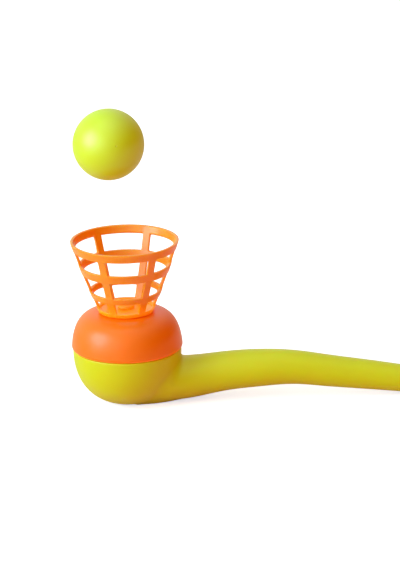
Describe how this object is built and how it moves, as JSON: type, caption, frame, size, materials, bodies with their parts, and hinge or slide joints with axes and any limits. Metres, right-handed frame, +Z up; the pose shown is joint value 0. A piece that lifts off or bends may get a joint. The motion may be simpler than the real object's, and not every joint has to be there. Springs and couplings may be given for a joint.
{
  "type": "blow ball pipe toy",
  "caption": "Pipe-shaped blowing toy: a hollow bowl and stem feed an air nozzle that floats a light ball above a conical basket.",
  "frame": {"origin": "centre of the flat foot under the bowl", "axes": "+Z up along the bowl's axis, +X along the stem to the mouthpiece, +Y across"},
  "size_m": [0.1379, 0.0394, 0.1065],
  "materials": {
    "pipe_plastic": "satin yellow-green polyethylene",
    "dome_plastic": "soft gloss orange",
    "basket_plastic": "soft gloss orange, slightly translucent",
    "ball_plastic": "satin yellow-green"
  },
  "bodies": {
    "pipe": {"pipe_body": "pipe_plastic", "bowl_dome": "dome_plastic", "basket": "basket_plastic", "air_nozzle": "basket_plastic"},
    "ball": {"ball": "ball_plastic"}
  },
  "joints": [
    {"name": "ball_float", "type": "slide", "parent": "pipe", "child": "ball", "axis": [-0.1006, 0, 0.9949], "range_m": [-0.0457, 0.06]}
  ]
}
